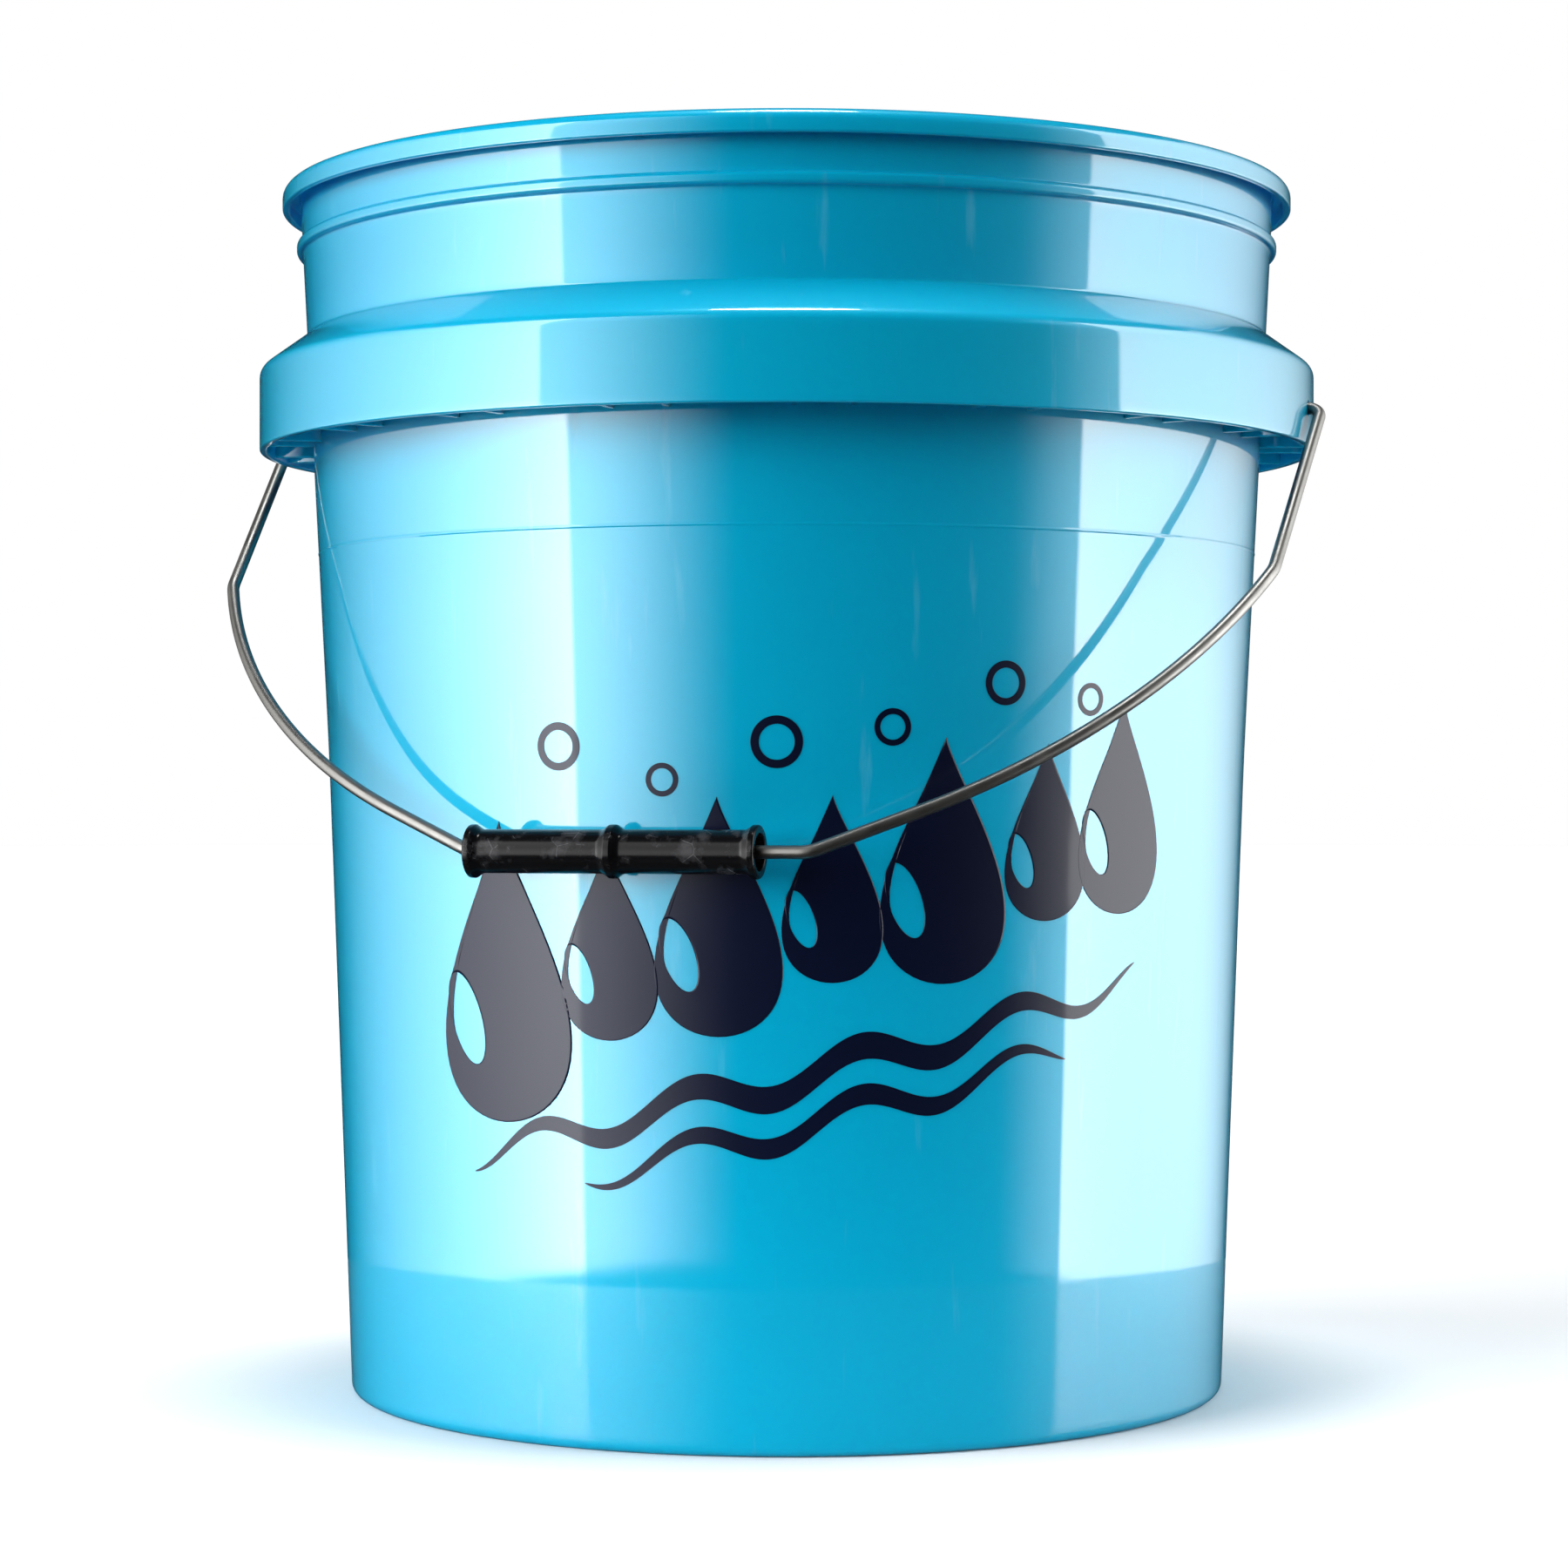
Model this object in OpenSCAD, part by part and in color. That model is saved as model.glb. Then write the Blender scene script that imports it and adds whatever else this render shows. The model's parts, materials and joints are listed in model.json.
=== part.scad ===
// Open-head wash bucket: a one-piece moulded pail with a stiffening skirt,
// a round-wire bail that swings in two holes in the skirt, and a loose roller grip.
// +Z is up, the origin is the centre of the circle it stands on, the bail pivots along X
// and hangs towards -Y. Millimetres.

/* [Pail] */
// Height from the ground to the top of the rim
pail_h = 357; // [352:1:364]
// Outside diameter of the rim
rim_d = 302; // [300:0.5:303]
// Outside diameter of the wall where it would meet the ground
base_d = 260.4; // [256:0.2:263]
// Outside diameter of the wall at the waist, where its taper changes
waist_d = 274.4; // [272:0.2:277]
// Height of the waist
waist_z = 190; // [170:1:210]
// Outside diameter of the neck just under the rim
neck_d = 291.2; // [290:0.2:292]
// Inside diameter of the straight mouth, which a plug lid or an insert fits
mouth_d = 286; // [285.4:0.2:286.4]
// Thickness of the moulded wall
wall = 2.3; // [2:0.1:2.6]

/* [Skirt] */
// Outside diameter of the skirt
skirt_d = 315.4; // [314:0.2:316]
// Height of the skirt's lower edge
skirt_z = 279; // [276:1:281]
// Height at which the sloping shoulder meets the neck
shoulder_z = 312.8; // [311:0.2:315]
// Slope of the shoulder below the horizontal
shoulder_slope = 36; // [33:1:38]
// Pairs of gussets between the wall and the skirt
gusset_pairs = 18; // [12:2:24]
// Angle between the two gussets of a pair
pair_angle = 6.4; // [5:0.2:8]

/* [Bail] */
// Diameter of the wire
wire_d = 3.6; // [3.2:0.1:4]
// Height of the pivot holes
pivot_z = 289.5; // [288:0.5:291]
// Half the distance between the arms, at the pivot
arm_x = 161.6; // [161.4:0.2:163]
// Length of an arm from the pivot to its shoulder bend
arm_l = 73.8; // [72:0.2:76]
// Inward lean of an arm
arm_lean = 4.2; // [3.5:0.1:5]
// Centre-line radius of the shoulder bend
elbow_r = 13; // [10:1:16]
// Turn of the shoulder bend
elbow_turn = 16.4; // [15:0.2:18]
// Centre-line radius of the bow below the shoulder bend
bow_r = 195; // [190:1:200]
// Turn of the bow
bow_turn = 38.2; // [36:0.1:39]
// Length of the straight between the bow and the bend at the grip
slope_l = 28; // [26:1:34]

/* [Grip] */
// Length of the grip
grip_l = 81; // [76:1:82]
// Outside diameter of its tube
grip_d = 11.8; // [11.4:0.2:12.6]
// Outside diameter of its three flanges
flange_d = 14.4; // [14:0.2:16]
// Diameter of the hole that the wire runs through
grip_bore_d = 10; // [9.4:0.2:10]
// Distance that the grip has slid from the middle of the bail
grip_slid = 6.5; // [0:0.5:8]

/* [Hidden] */
$fn = 96;

// Rim, bead and base
rim_r = rim_d / 2;
mouth_r = mouth_d / 2;
mouth_l = 10;
lip_t = 2;
lip_h = 6.5;
lip_round = 3;
mouth_round = 1;
bead_z = pail_h - 17.7;
bead_r = 1.8;
recess_h = 3.5;
floor_t = 2.6;
floor_z = recess_h + floor_t;
foot_w = 4;
foot_round = 3;
floor_round = 5;
gate_r = 3;
gate_h = 1;

// Skirt
skirt_r = skirt_d / 2;
skirt_t = 2.2;
skirt_round = 4;
skirt_edge = 0.6;
gusset_t = 1.6;
gusset_up = 0.8;
neck_fillet = 1.2;

// Pivot and wire
hole_d = wire_d + 1.2;
ear_bend_r = 4.5;
hook_x = 149;
hook_bend_r = 3.2;
hook_l = 3.6;
elbow_l = 1;
grip_bend_r = 9;
wall_gap = 0.3;
// Straight stretches run a little way over the ends of the bends, which are a hair thinner,
// so that each joint between them is a clean step and not two touching surfaces
bend_d = wire_d - 0.06;
joint_l = 0.1;

// Outside radius of the wall at height z
base_r = base_d / 2;
waist_r = waist_d / 2;
neck_r = neck_d / 2;
neck_z = pail_h - lip_h;
function wall_r(z) = z < waist_z
    ? base_r + (waist_r - base_r) * z / waist_z
    : waist_r + (neck_r - waist_r) * (z - waist_z) / (neck_z - waist_z);

// Points on an arc about c, from angle a to angle b
function arc(c, r, a, b, steps = 8) =
    [for (i = [0 : steps]) c + r * [cos(a + (b - a) * i / steps), sin(a + (b - a) * i / steps)]];

// Shoulder: the top face falls outwards from the neck, and the underside runs parallel to it
shoulder_r = wall_r(shoulder_z);
function shoulder_top(r) = shoulder_z - (r - shoulder_r) * tan(shoulder_slope);
function shoulder_under(r) = shoulder_top(r) - wall / cos(shoulder_slope);
// The skirt's outer corner is an arc that touches the shoulder's face and the skirt's face
corner_r = skirt_r - skirt_round;
corner_z = shoulder_top(corner_r) - skirt_round / cos(shoulder_slope);
skirt_in = skirt_r - skirt_t;

// Cross-section of the pail, from the middle of its underside out, up and back down inside
function pail_outline() = concat(
    [[0, recess_h - gate_h], [gate_r, recess_h - gate_h], [gate_r, recess_h],
     [base_r - foot_round - foot_w - recess_h / 2, recess_h],
     [base_r - foot_round - foot_w, 0]],
    arc([wall_r(foot_round) - foot_round, foot_round], foot_round, -90, 0, 6),
    [[waist_r, waist_z],
     [wall_r(shoulder_z - 4), shoulder_under(wall_r(shoulder_z - 4))],
     [skirt_in, shoulder_under(skirt_in)]],
    arc([skirt_in + skirt_edge, skirt_z + skirt_edge], skirt_edge, 180, 270, 3),
    arc([skirt_r - skirt_edge, skirt_z + skirt_edge], skirt_edge, -90, 0, 3),
    arc([corner_r, corner_z], skirt_round, 0, 90 - shoulder_slope, 6),
    [[shoulder_r + neck_fillet * cos(shoulder_slope), shoulder_top(shoulder_r + neck_fillet * cos(shoulder_slope))],
     [wall_r(shoulder_z + neck_fillet), shoulder_z + neck_fillet]],
    arc([wall_r(bead_z), bead_z], bead_r, -84, 84, 10),
    [[wall_r(neck_z), neck_z],
     [wall_r(neck_z), pail_h - wall],
     [rim_r - lip_t, pail_h - wall],
     [rim_r - lip_t, neck_z + 0.5],
     [rim_r - lip_t + 0.5, neck_z],
     [rim_r - 0.5, neck_z],
     [rim_r, neck_z + 0.5]],
    arc([rim_r - lip_round, pail_h - lip_round], lip_round, 0, 90, 6),
    arc([mouth_r + mouth_round, pail_h - mouth_round], mouth_round, 90, 180, 4),
    [[mouth_r, pail_h - mouth_l],
     [waist_r - wall, waist_z]],
    arc([wall_r(floor_z + floor_round) - wall - floor_round, floor_z + floor_round], floor_round, 0, -90, 6),
    [[0, floor_z]]
);

// One gusset standing across the channel between the wall and the skirt
gusset_in = wall_r(skirt_z) - 0.4;
gusset_out = skirt_in + skirt_t / 2;
module gusset() {
    rotate([90, 0, 0])
        linear_extrude(gusset_t, center = true)
            polygon([
                [gusset_in, skirt_z + gusset_up],
                [gusset_out, skirt_z + gusset_up],
                [gusset_out, shoulder_under(gusset_out) + wall / 2],
                [gusset_in, shoulder_under(gusset_in) + wall / 2]
            ]);
}

module pail() {
    pair_pitch = 360 / gusset_pairs;
    color("deepskyblue")
        difference() {
            union() {
                rotate_extrude($fn = 180) polygon(pail_outline());
                for (i = [0 : gusset_pairs - 1], side = [-1, 1])
                    rotate([0, 0, (i + 0.5) * pair_pitch + side * pair_angle / 2]) gusset();
            }
            // One hole each side for the bail's ends, through the skirt only
            for (side = [0, 1])
                mirror([side, 0, 0])
                    translate([skirt_in - 2, 0, pivot_z])
                        rotate([0, 90, 0]) cylinder(h = skirt_t + 4, d = hole_d);
        }
}

// The bail is drawn flat, as [distance from the middle, distance from the pivot axis].
// Angles are measured from the first direction towards the second.
function along(a) = [cos(a), sin(a)];
function down(a) = [-sin(a), cos(a)];
bow_a = arm_lean + elbow_turn;
slope_a = bow_a + bow_turn;
elbow_start = [arm_x, 0] + arm_l * down(arm_lean);
elbow_c = elbow_start - elbow_r * along(arm_lean);
elbow_end = elbow_c + elbow_r * along(bow_a);
bow_start = elbow_end + elbow_l * down(bow_a);
bow_c = bow_start - bow_r * along(bow_a);
bow_end = bow_c + bow_r * along(slope_a);
slope_end = bow_end + slope_l * down(slope_a);
grip_bend_c = slope_end - grip_bend_r * along(slope_a);
run_half = grip_bend_c[0];
reach = grip_bend_c[1] + grip_bend_r;
// The arm's top bend turns the wire from the arm to the pivot axis
ear_t = ear_bend_r * tan((90 + arm_lean) / 2);

// At rest the grip's flange leans on the wall: the angle from straight down at which it does
wall_k = (waist_r - base_r) / waist_z;
lean_reach = base_r + wall_k * pivot_z + (flange_d / 2 + wall_gap) * sqrt(1 + wall_k * wall_k);
rest_angle = asin(lean_reach / (reach * sqrt(1 + wall_k * wall_k))) - atan(wall_k);

module in_bail_frame() {
    translate([0, 0, pivot_z]) rotate([90 - rest_angle, 0, 0]) children();
}

module rod(p, q, over_p = joint_l, over_q = joint_l) {
    d = q - p;
    translate([p[0], -p[1], 0])
        rotate([0, 0, atan2(-d[1], d[0])])
            translate([-over_p, 0, 0])
                rotate([0, 90, 0]) cylinder(h = norm(d) + over_p + over_q, d = wire_d);
}

module bend(c, r, a, turn) {
    translate([c[0], -c[1], 0])
        rotate([0, 0, -(a + turn)])
            rotate_extrude(angle = turn) translate([r, 0]) circle(d = bend_d);
}

// One side of the wire, from the bend at the grip to the tip of the hook inside the skirt
module wire_side() {
    bend(grip_bend_c, grip_bend_r, slope_a, 90 - slope_a);
    rod(slope_end, bow_end);
    bend(bow_c, bow_r, bow_a, bow_turn);
    rod(bow_start, elbow_end);
    bend(elbow_c, elbow_r, arm_lean, elbow_turn);
    rod(elbow_start, [arm_x, 0] + ear_t * down(arm_lean));
    bend([arm_x - ear_t, ear_bend_r], ear_bend_r, -90, 90 + arm_lean);
    rod([arm_x - ear_t, 0], [hook_x + hook_bend_r, 0]);
    bend([hook_x + hook_bend_r, -hook_bend_r], hook_bend_r, 90, 90);
    rod([hook_x, -hook_bend_r], [hook_x, -hook_bend_r - hook_l], joint_l, 0);
}

module bail() {
    color("silver")
        in_bail_frame() {
            rod([-run_half, reach], [run_half, reach]);
            wire_side();
            mirror([1, 0, 0]) wire_side();
        }
}

// Cross-section of the grip, as [radius, distance from its left end]
flange_r = flange_d / 2;
flange_t = 1.8;
flange_round = 0.6;
tube_r = grip_d / 2;
bore_r = grip_bore_d / 2;
bore_edge = 0.4;
// The tube flares into each flange along an arc, up to where the flange's rounded edge starts
flare_r = 2;
flare_a = acos((flange_r - flange_round - tube_r) / flare_r - 1);
flare_l = flare_r * sin(flare_a);
function flare_up(at) = arc([tube_r + flare_r, at - flare_l], flare_r, 180, flare_a, 6);
function flare_down(at) = arc([tube_r + flare_r, at + flare_l], flare_r, -flare_a, -180, 6);
function edge_up(at) = arc([flange_r - flange_round, at + flange_round], flange_round, -90, 0, 4);
function edge_down(at) = arc([flange_r - flange_round, at - flange_round], flange_round, 0, 90, 4);
mid_low = (grip_l - flange_t) / 2;
mid_high = (grip_l + flange_t) / 2;
function grip_outline() = concat(
    [[bore_r, bore_edge], [bore_r + bore_edge, 0]], edge_up(0), edge_down(flange_t), flare_down(flange_t),
    flare_up(mid_low), edge_up(mid_low), edge_down(mid_high), flare_down(mid_high),
    flare_up(grip_l - flange_t), edge_up(grip_l - flange_t), edge_down(grip_l),
    [[bore_r + bore_edge, grip_l], [bore_r, grip_l - bore_edge]]
);

module grip() {
    color([0.1, 0.1, 0.11])
        in_bail_frame()
            translate([-grip_slid - grip_l / 2, -reach, 0])
                rotate([0, 90, 0])
                    rotate_extrude() polygon(grip_outline());
}

pail();
bail();
grip();
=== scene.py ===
"""Wash bucket: the moulded pail with its skirt and gussets, the wire bail, the tube grip and
the print on the wall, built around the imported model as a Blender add-on that runs as a script."""

import json
import math

import bpy
import numpy as np
from bpy.props import FloatProperty, FloatVectorProperty, IntProperty, PointerProperty
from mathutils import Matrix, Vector


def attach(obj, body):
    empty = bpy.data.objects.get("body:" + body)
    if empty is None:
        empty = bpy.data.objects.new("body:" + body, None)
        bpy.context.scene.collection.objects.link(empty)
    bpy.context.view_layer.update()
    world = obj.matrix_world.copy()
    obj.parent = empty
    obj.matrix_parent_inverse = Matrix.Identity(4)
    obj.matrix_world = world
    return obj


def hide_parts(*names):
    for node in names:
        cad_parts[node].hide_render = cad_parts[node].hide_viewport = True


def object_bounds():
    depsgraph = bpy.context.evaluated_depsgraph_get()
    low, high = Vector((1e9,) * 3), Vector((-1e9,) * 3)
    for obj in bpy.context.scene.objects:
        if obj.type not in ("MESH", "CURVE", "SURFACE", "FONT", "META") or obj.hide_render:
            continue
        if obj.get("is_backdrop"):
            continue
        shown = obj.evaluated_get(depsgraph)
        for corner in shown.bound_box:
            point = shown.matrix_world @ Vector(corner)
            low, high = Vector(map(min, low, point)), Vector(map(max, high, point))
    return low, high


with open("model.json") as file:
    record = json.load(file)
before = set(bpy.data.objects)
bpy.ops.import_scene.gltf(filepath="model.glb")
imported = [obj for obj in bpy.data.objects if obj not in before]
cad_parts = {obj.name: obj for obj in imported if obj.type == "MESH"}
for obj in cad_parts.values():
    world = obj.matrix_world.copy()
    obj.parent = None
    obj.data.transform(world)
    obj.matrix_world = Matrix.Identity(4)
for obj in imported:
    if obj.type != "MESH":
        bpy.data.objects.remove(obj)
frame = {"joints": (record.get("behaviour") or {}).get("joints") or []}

CAD_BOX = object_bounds()

bl_info = {
    "name": "Wash bucket",
    "version": (1, 0, 0),
    "blender": (4, 5, 0),
    "location": "View3D > Sidebar > Wash bucket",
    "description": "Builds a moulded wash bucket with its bail, grip and wall print",
    "category": "Add Mesh",
}

MM = 0.001
TURN = 2 * math.pi
JOINTS = {joint["name"]: joint for joint in frame["joints"]}
PIVOT_Z = JOINTS["bail_swing"]["pos_m"][2]
GRIP_AXIS = Vector(JOINTS["grip_spin"]["pos_m"])


def linear(code):
    """Linear red, green and blue of an sRGB hex colour."""
    parts = np.array([int(code[i : i + 2], 16) for i in (1, 3, 5)]) / 255
    return tuple(np.where(parts <= 0.04045, parts / 12.92, ((parts + 0.055) / 1.055) ** 2.4))


# ---------------------------------------------------------------- sizes and colours


def length(name, description, millimetres):
    """A length that a user can change, given in millimetres and kept in metres."""
    return FloatProperty(name=name, description=description, default=millimetres * MM, unit="LENGTH")


def degrees(name, description, value):
    """An angle that a user can change, given in degrees and kept in radians."""
    return FloatProperty(name=name, description=description, default=math.radians(value), unit="ROTATION")


def colour(name, description, code):
    """A colour that a user can change, given as an sRGB hex code."""
    return FloatVectorProperty(
        name=name, description=description, subtype="COLOR", size=3, min=0, max=1, default=linear(code)
    )


def power(name, description, value):
    """A light's strength that a user can change."""
    return FloatProperty(name=name, description=description, default=value)


class PailSizes(bpy.types.PropertyGroup):
    """Sizes of the moulded pail."""

    height: length("Height", "From the floor to the top of the rim", 357)
    rim_d: length("Rim", "Outside diameter of the rolled rim", 302)
    base_d: length("Base", "Outside diameter of the wall at the floor", 260.4)
    waist_d: length("Waist", "Outside diameter where the taper changes", 274.4)
    waist_z: length("Waist height", "Height at which the taper changes", 190)
    neck_d: length("Neck", "Outside diameter under the rim", 291.2)
    mouth_d: length("Mouth", "Inside diameter of the straight mouth", 286)
    wall: length("Wall", "Thickness of the moulded wall", 2.3)
    skirt_d: length("Skirt", "Outside diameter of the skirt", 315.4)
    skirt_z: length("Skirt edge", "Height of the skirt's lower edge", 279)
    shoulder_z: length("Shoulder", "Height at which the shoulder meets the neck", 312.8)
    shoulder_slope: degrees("Shoulder slope", "Fall of the shoulder below the horizontal", 36)
    witness_z: length("Witness line", "Height of the mould's fine witness line", 248.7)
    gusset_pairs: IntProperty(name="Gusset pairs", description="Pairs of ribs behind the skirt", default=18)
    pair_angle: degrees("Pair angle", "Angle between the two ribs of a pair", 6.4)
    hole_d: length("Ear hole", "Diameter of the hole that the wire turns in", 4.8)


class BailSizes(bpy.types.PropertyGroup):
    """Sizes of the wire bail, drawn flat from the pivot axis downwards."""

    wire_d: length("Wire", "Diameter of the wire", 3.6)
    arm_x: length("Arm spacing", "Half the distance between the arms at the pivot", 161.6)
    arm_l: length("Arm", "Length of an arm down to its bend", 73.8)
    arm_lean: degrees("Arm lean", "Inward lean of an arm", 4.2)
    elbow_r: length("Elbow radius", "Centre-line radius of the arm's lower bend", 13)
    elbow_turn: degrees("Elbow turn", "Turn of the arm's lower bend", 16.4)
    bow_r: length("Bow radius", "Centre-line radius of the bow", 195)
    bow_turn: degrees("Bow turn", "Turn of the bow", 38.2)
    slope_l: length("Slope", "Straight between the bow and the bend at the grip", 28)
    grip_bend_r: length("Grip bend radius", "Centre-line radius of the bend at the grip", 9)


class GripSizes(bpy.types.PropertyGroup):
    """Sizes of the tube grip."""

    grip_l: length("Length", "Length of the grip", 81)
    tube_d: length("Tube", "Outside diameter of the tube", 11.8)
    flange_d: length("Flange", "Outside diameter of the flanges", 14.4)
    bore_d: length("Bore", "Diameter of the hole that the wire runs through", 10)
    slid: length("Slid", "Distance that the grip has slid to the left", 6.5)


class Finishes(bpy.types.PropertyGroup):
    """Colours of the pieces and the studio."""

    plastic: colour("Pail", "Colour of the pail's plastic", "#00ABD2")
    wire: colour("Wire", "Colour of the plated wire", "#807F7C")
    grip: colour("Grip", "Colour of the grip's plastic", "#0B0B0D")
    ink: colour("Ink", "Colour of the wall print", "#060D26")
    floor: colour("Floor", "Colour of the floor", "#F4F5F6")
    left_power: power("Left light", "Strength of the light from the left", 4.4)
    right_power: power("Right light", "Strength of the light from the right", 3.0)
    top_power: power("Overhead light", "Strength of the light above", 1.9)
    fill_power: power("Fill light", "Strength of the light from all round", 0.05)


# ---------------------------------------------------------------- surfaces


def rounded(corners, steps=6):
    """Outline through (radius, height, fillet) corners, each corner replaced by an arc.

    With unit vectors a and b from a corner to its neighbours and half the angle h between them,
    the arc's centre lies fillet / sin(h) along their bisector, and the arc is swept between the
    two tangent points by spherical interpolation about that centre."""
    points = np.array([c[:2] for c in corners], float) * MM
    fillet = np.array([c[2] for c in corners], float)[:, None] * MM
    inner = points[1:-1]
    to_last = points[:-2] - inner
    to_next = points[2:] - inner
    to_last /= np.linalg.norm(to_last, axis=1, keepdims=True)
    to_next /= np.linalg.norm(to_next, axis=1, keepdims=True)
    half = np.arccos(np.clip((to_last * to_next).sum(1, keepdims=True), -1, 1)) / 2
    bisector = to_last + to_next
    bisector /= np.linalg.norm(bisector, axis=1, keepdims=True)
    radius = fillet[1:-1]
    centre = inner + bisector * radius / np.sin(half)
    start = inner + to_last * radius / np.tan(half) - centre
    end = inner + to_next * radius / np.tan(half) - centre
    sweep = np.pi - 2 * half
    share = np.linspace(0, 1, steps + 1)[None, :, None]
    arcs = centre[:, None] + (
        np.sin((1 - share) * sweep[:, None]) * start[:, None] + np.sin(share * sweep[:, None]) * end[:, None]
    ) / np.sin(sweep[:, None])
    return np.vstack([points[:1], arcs.reshape(-1, 2), points[-1:]])


def supported(outline, gap=1.5 * MM, longest=12 * MM):
    """The outline with extra points on its long stretches: one near each end, and evenly between."""
    spans = np.linalg.norm(np.diff(outline, axis=0), axis=1)
    pieces = []
    for p, q, span in zip(outline[:-1], outline[1:], spans):
        share = [0.0]
        if span > 3 * gap:
            share += list(np.linspace(gap, span - gap, max(2, int(span / longest) + 1)) / span)
        pieces.append(p + np.array(share)[:, None] * (q - p))
    return np.vstack([*pieces, outline[-1:]])


def grid_faces(rows, columns, wrap_rows=False, wrap_columns=True):
    """Quads of a grid of rows by columns, row by row, wrapped where asked."""
    i, j = np.meshgrid(
        np.arange(rows if wrap_rows else rows - 1),
        np.arange(columns if wrap_columns else columns - 1),
        indexing="ij",
    )
    down, across = (i + 1) % rows, (j + 1) % columns
    return np.stack(
        [i * columns + j, i * columns + across, down * columns + across, down * columns + j], -1
    ).reshape(-1, 4)


def make_piece(name, points, quads, fans=(), uv=None):
    """A smooth-shaded mesh object from points, quads and triangle fans, with a UV per point if given."""
    triangles = np.vstack([np.empty((0, 3), int), *fans]).astype(np.int32)
    quads = np.asarray(quads, np.int32)
    loops = np.concatenate([quads.ravel(), triangles.ravel()])
    starts = np.concatenate([np.arange(len(quads)) * 4, len(quads) * 4 + np.arange(len(triangles)) * 3])
    mesh = bpy.data.meshes.new(name)
    mesh.vertices.add(len(points))
    mesh.vertices.foreach_set("co", np.asarray(points, np.float32).ravel())
    mesh.loops.add(len(loops))
    mesh.loops.foreach_set("vertex_index", loops)
    mesh.polygons.add(len(starts))
    mesh.polygons.foreach_set("loop_start", starts.astype(np.int32))
    mesh.polygons.foreach_set("use_smooth", np.ones(len(starts), bool))
    mesh.update(calc_edges=True)
    mesh.validate()
    if uv is not None:
        layer = mesh.uv_layers.new(name="surface")
        layer.data.foreach_set("uv", np.asarray(uv, np.float32)[loops].ravel())
    piece = bpy.data.objects.new(name, mesh)
    bpy.context.scene.collection.objects.link(piece)
    return piece


def fan(pole, ring, forward):
    """Triangles from a pole to the neighbours on a ring of point numbers, forward or backward."""
    after = np.roll(ring, -1)
    sides = (ring, after) if forward else (after, ring)
    return np.stack([np.full(len(ring), pole), *sides], -1)


def lathe(outline, columns):
    """Points, quads and pole fans of an outline of (radius, height) turned about Z.

    A point is (radius cos a, radius sin a, height). The outline starts and ends on the axis, and
    each of those ends is one point with a fan of triangles to the ring beside it."""
    angle = np.arange(columns) * TURN / columns
    ring = outline[1:-1]
    points = np.stack(
        [
            ring[:, :1] * np.cos(angle),
            ring[:, :1] * np.sin(angle),
            np.repeat(ring[:, 1:], columns, axis=1),
        ],
        -1,
    ).reshape(-1, 3)
    first, last = len(points), len(points) + 1
    points = np.vstack([points, [[0, 0, outline[0, 1]], [0, 0, outline[-1, 1]]]])
    column = np.arange(columns)
    top = (len(ring) - 1) * columns
    fans = [fan(first, column, False), fan(last, top + column, True)]
    return points, grid_faces(len(ring), columns), fans


def finish_piece(piece, material, body, replaced=None):
    """Gives a piece its material and its body, and hides the solid that it stands for."""
    piece.data.materials.append(material)
    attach(piece, body)
    if replaced:
        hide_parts(replaced)


# ---------------------------------------------------------------- materials


def add(tree, kind, inputs=None, **settings):
    """Adds a node, sets its properties, and sets or links its inputs."""
    made = tree.nodes.new(kind)
    for name, value in settings.items():
        setattr(made, name, value)
    for name, value in (inputs or {}).items():
        if isinstance(value, bpy.types.NodeSocket):
            tree.links.new(value, made.inputs[name])
        else:
            made.inputs[name].default_value = value
    return made


def start_material(name):
    """A new material, its node tree emptied, with its output node."""
    material = bpy.data.materials.new(name)
    material.use_nodes = True
    tree = material.node_tree
    tree.nodes.clear()
    return material, tree, add(tree, "ShaderNodeOutputMaterial")


def per_mm(size):
    """Noise scale for a feature of that many millimetres."""
    return 1 / (size * MM)


def noise(tree, place, size, detail, **more):
    """Noise with features of about that many millimetres."""
    inputs = {"Vector": place, "Scale": per_mm(size), "Detail": detail, **more}
    return add(tree, "ShaderNodeTexNoise", inputs).outputs["Fac"]


def drawn_noise(tree, place, scale, detail):
    """Noise drawn out along one axis, by a scale for each axis."""
    drawn = add(tree, "ShaderNodeMapping", {"Vector": place, "Scale": scale}).outputs["Vector"]
    return add(tree, "ShaderNodeTexNoise", {"Vector": drawn, "Scale": 1.0, "Detail": detail}).outputs["Fac"]


def remap(tree, value, ends, to_ends=(0.0, 1.0), **settings):
    """A value's range between two ends carried over to two others, and held beyond them."""
    names = ("Value", "From Min", "From Max", "To Min", "To Max")
    inputs = dict(zip(names, (value, *ends, *to_ends)))
    return add(tree, "ShaderNodeMapRange", inputs, **settings).outputs["Result"]


def maths(tree, operation, *values, **settings):
    """The result of one operation on sockets or numbers."""
    return add(tree, "ShaderNodeMath", dict(enumerate(values)), operation=operation, **settings).outputs[0]


def bump(tree, height, strength, depth, under=None):
    """A bump of that depth in millimetres, over another bump where one is given."""
    inputs = {"Height": height, "Strength": strength, "Distance": depth * MM}
    if under is not None:
        inputs["Normal"] = under
    return add(tree, "ShaderNodeBump", inputs).outputs["Normal"]


def blend(tree, factor, first, second):
    """A mix of two colours, each of them a socket or three linear values."""
    sides = [side if isinstance(side, bpy.types.NodeSocket) else (*side, 1) for side in (first, second)]
    inputs = {"Factor": factor, "A": sides[0], "B": sides[1]}
    return add(tree, "ShaderNodeMix", inputs, data_type="RGBA").outputs["Result"]


def principled(tree, output, inputs):
    """A principled shader with those inputs as the material's surface."""
    shader = add(tree, "ShaderNodeBsdfPrincipled", inputs)
    tree.links.new(shader.outputs["BSDF"], output.inputs["Surface"])


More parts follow.
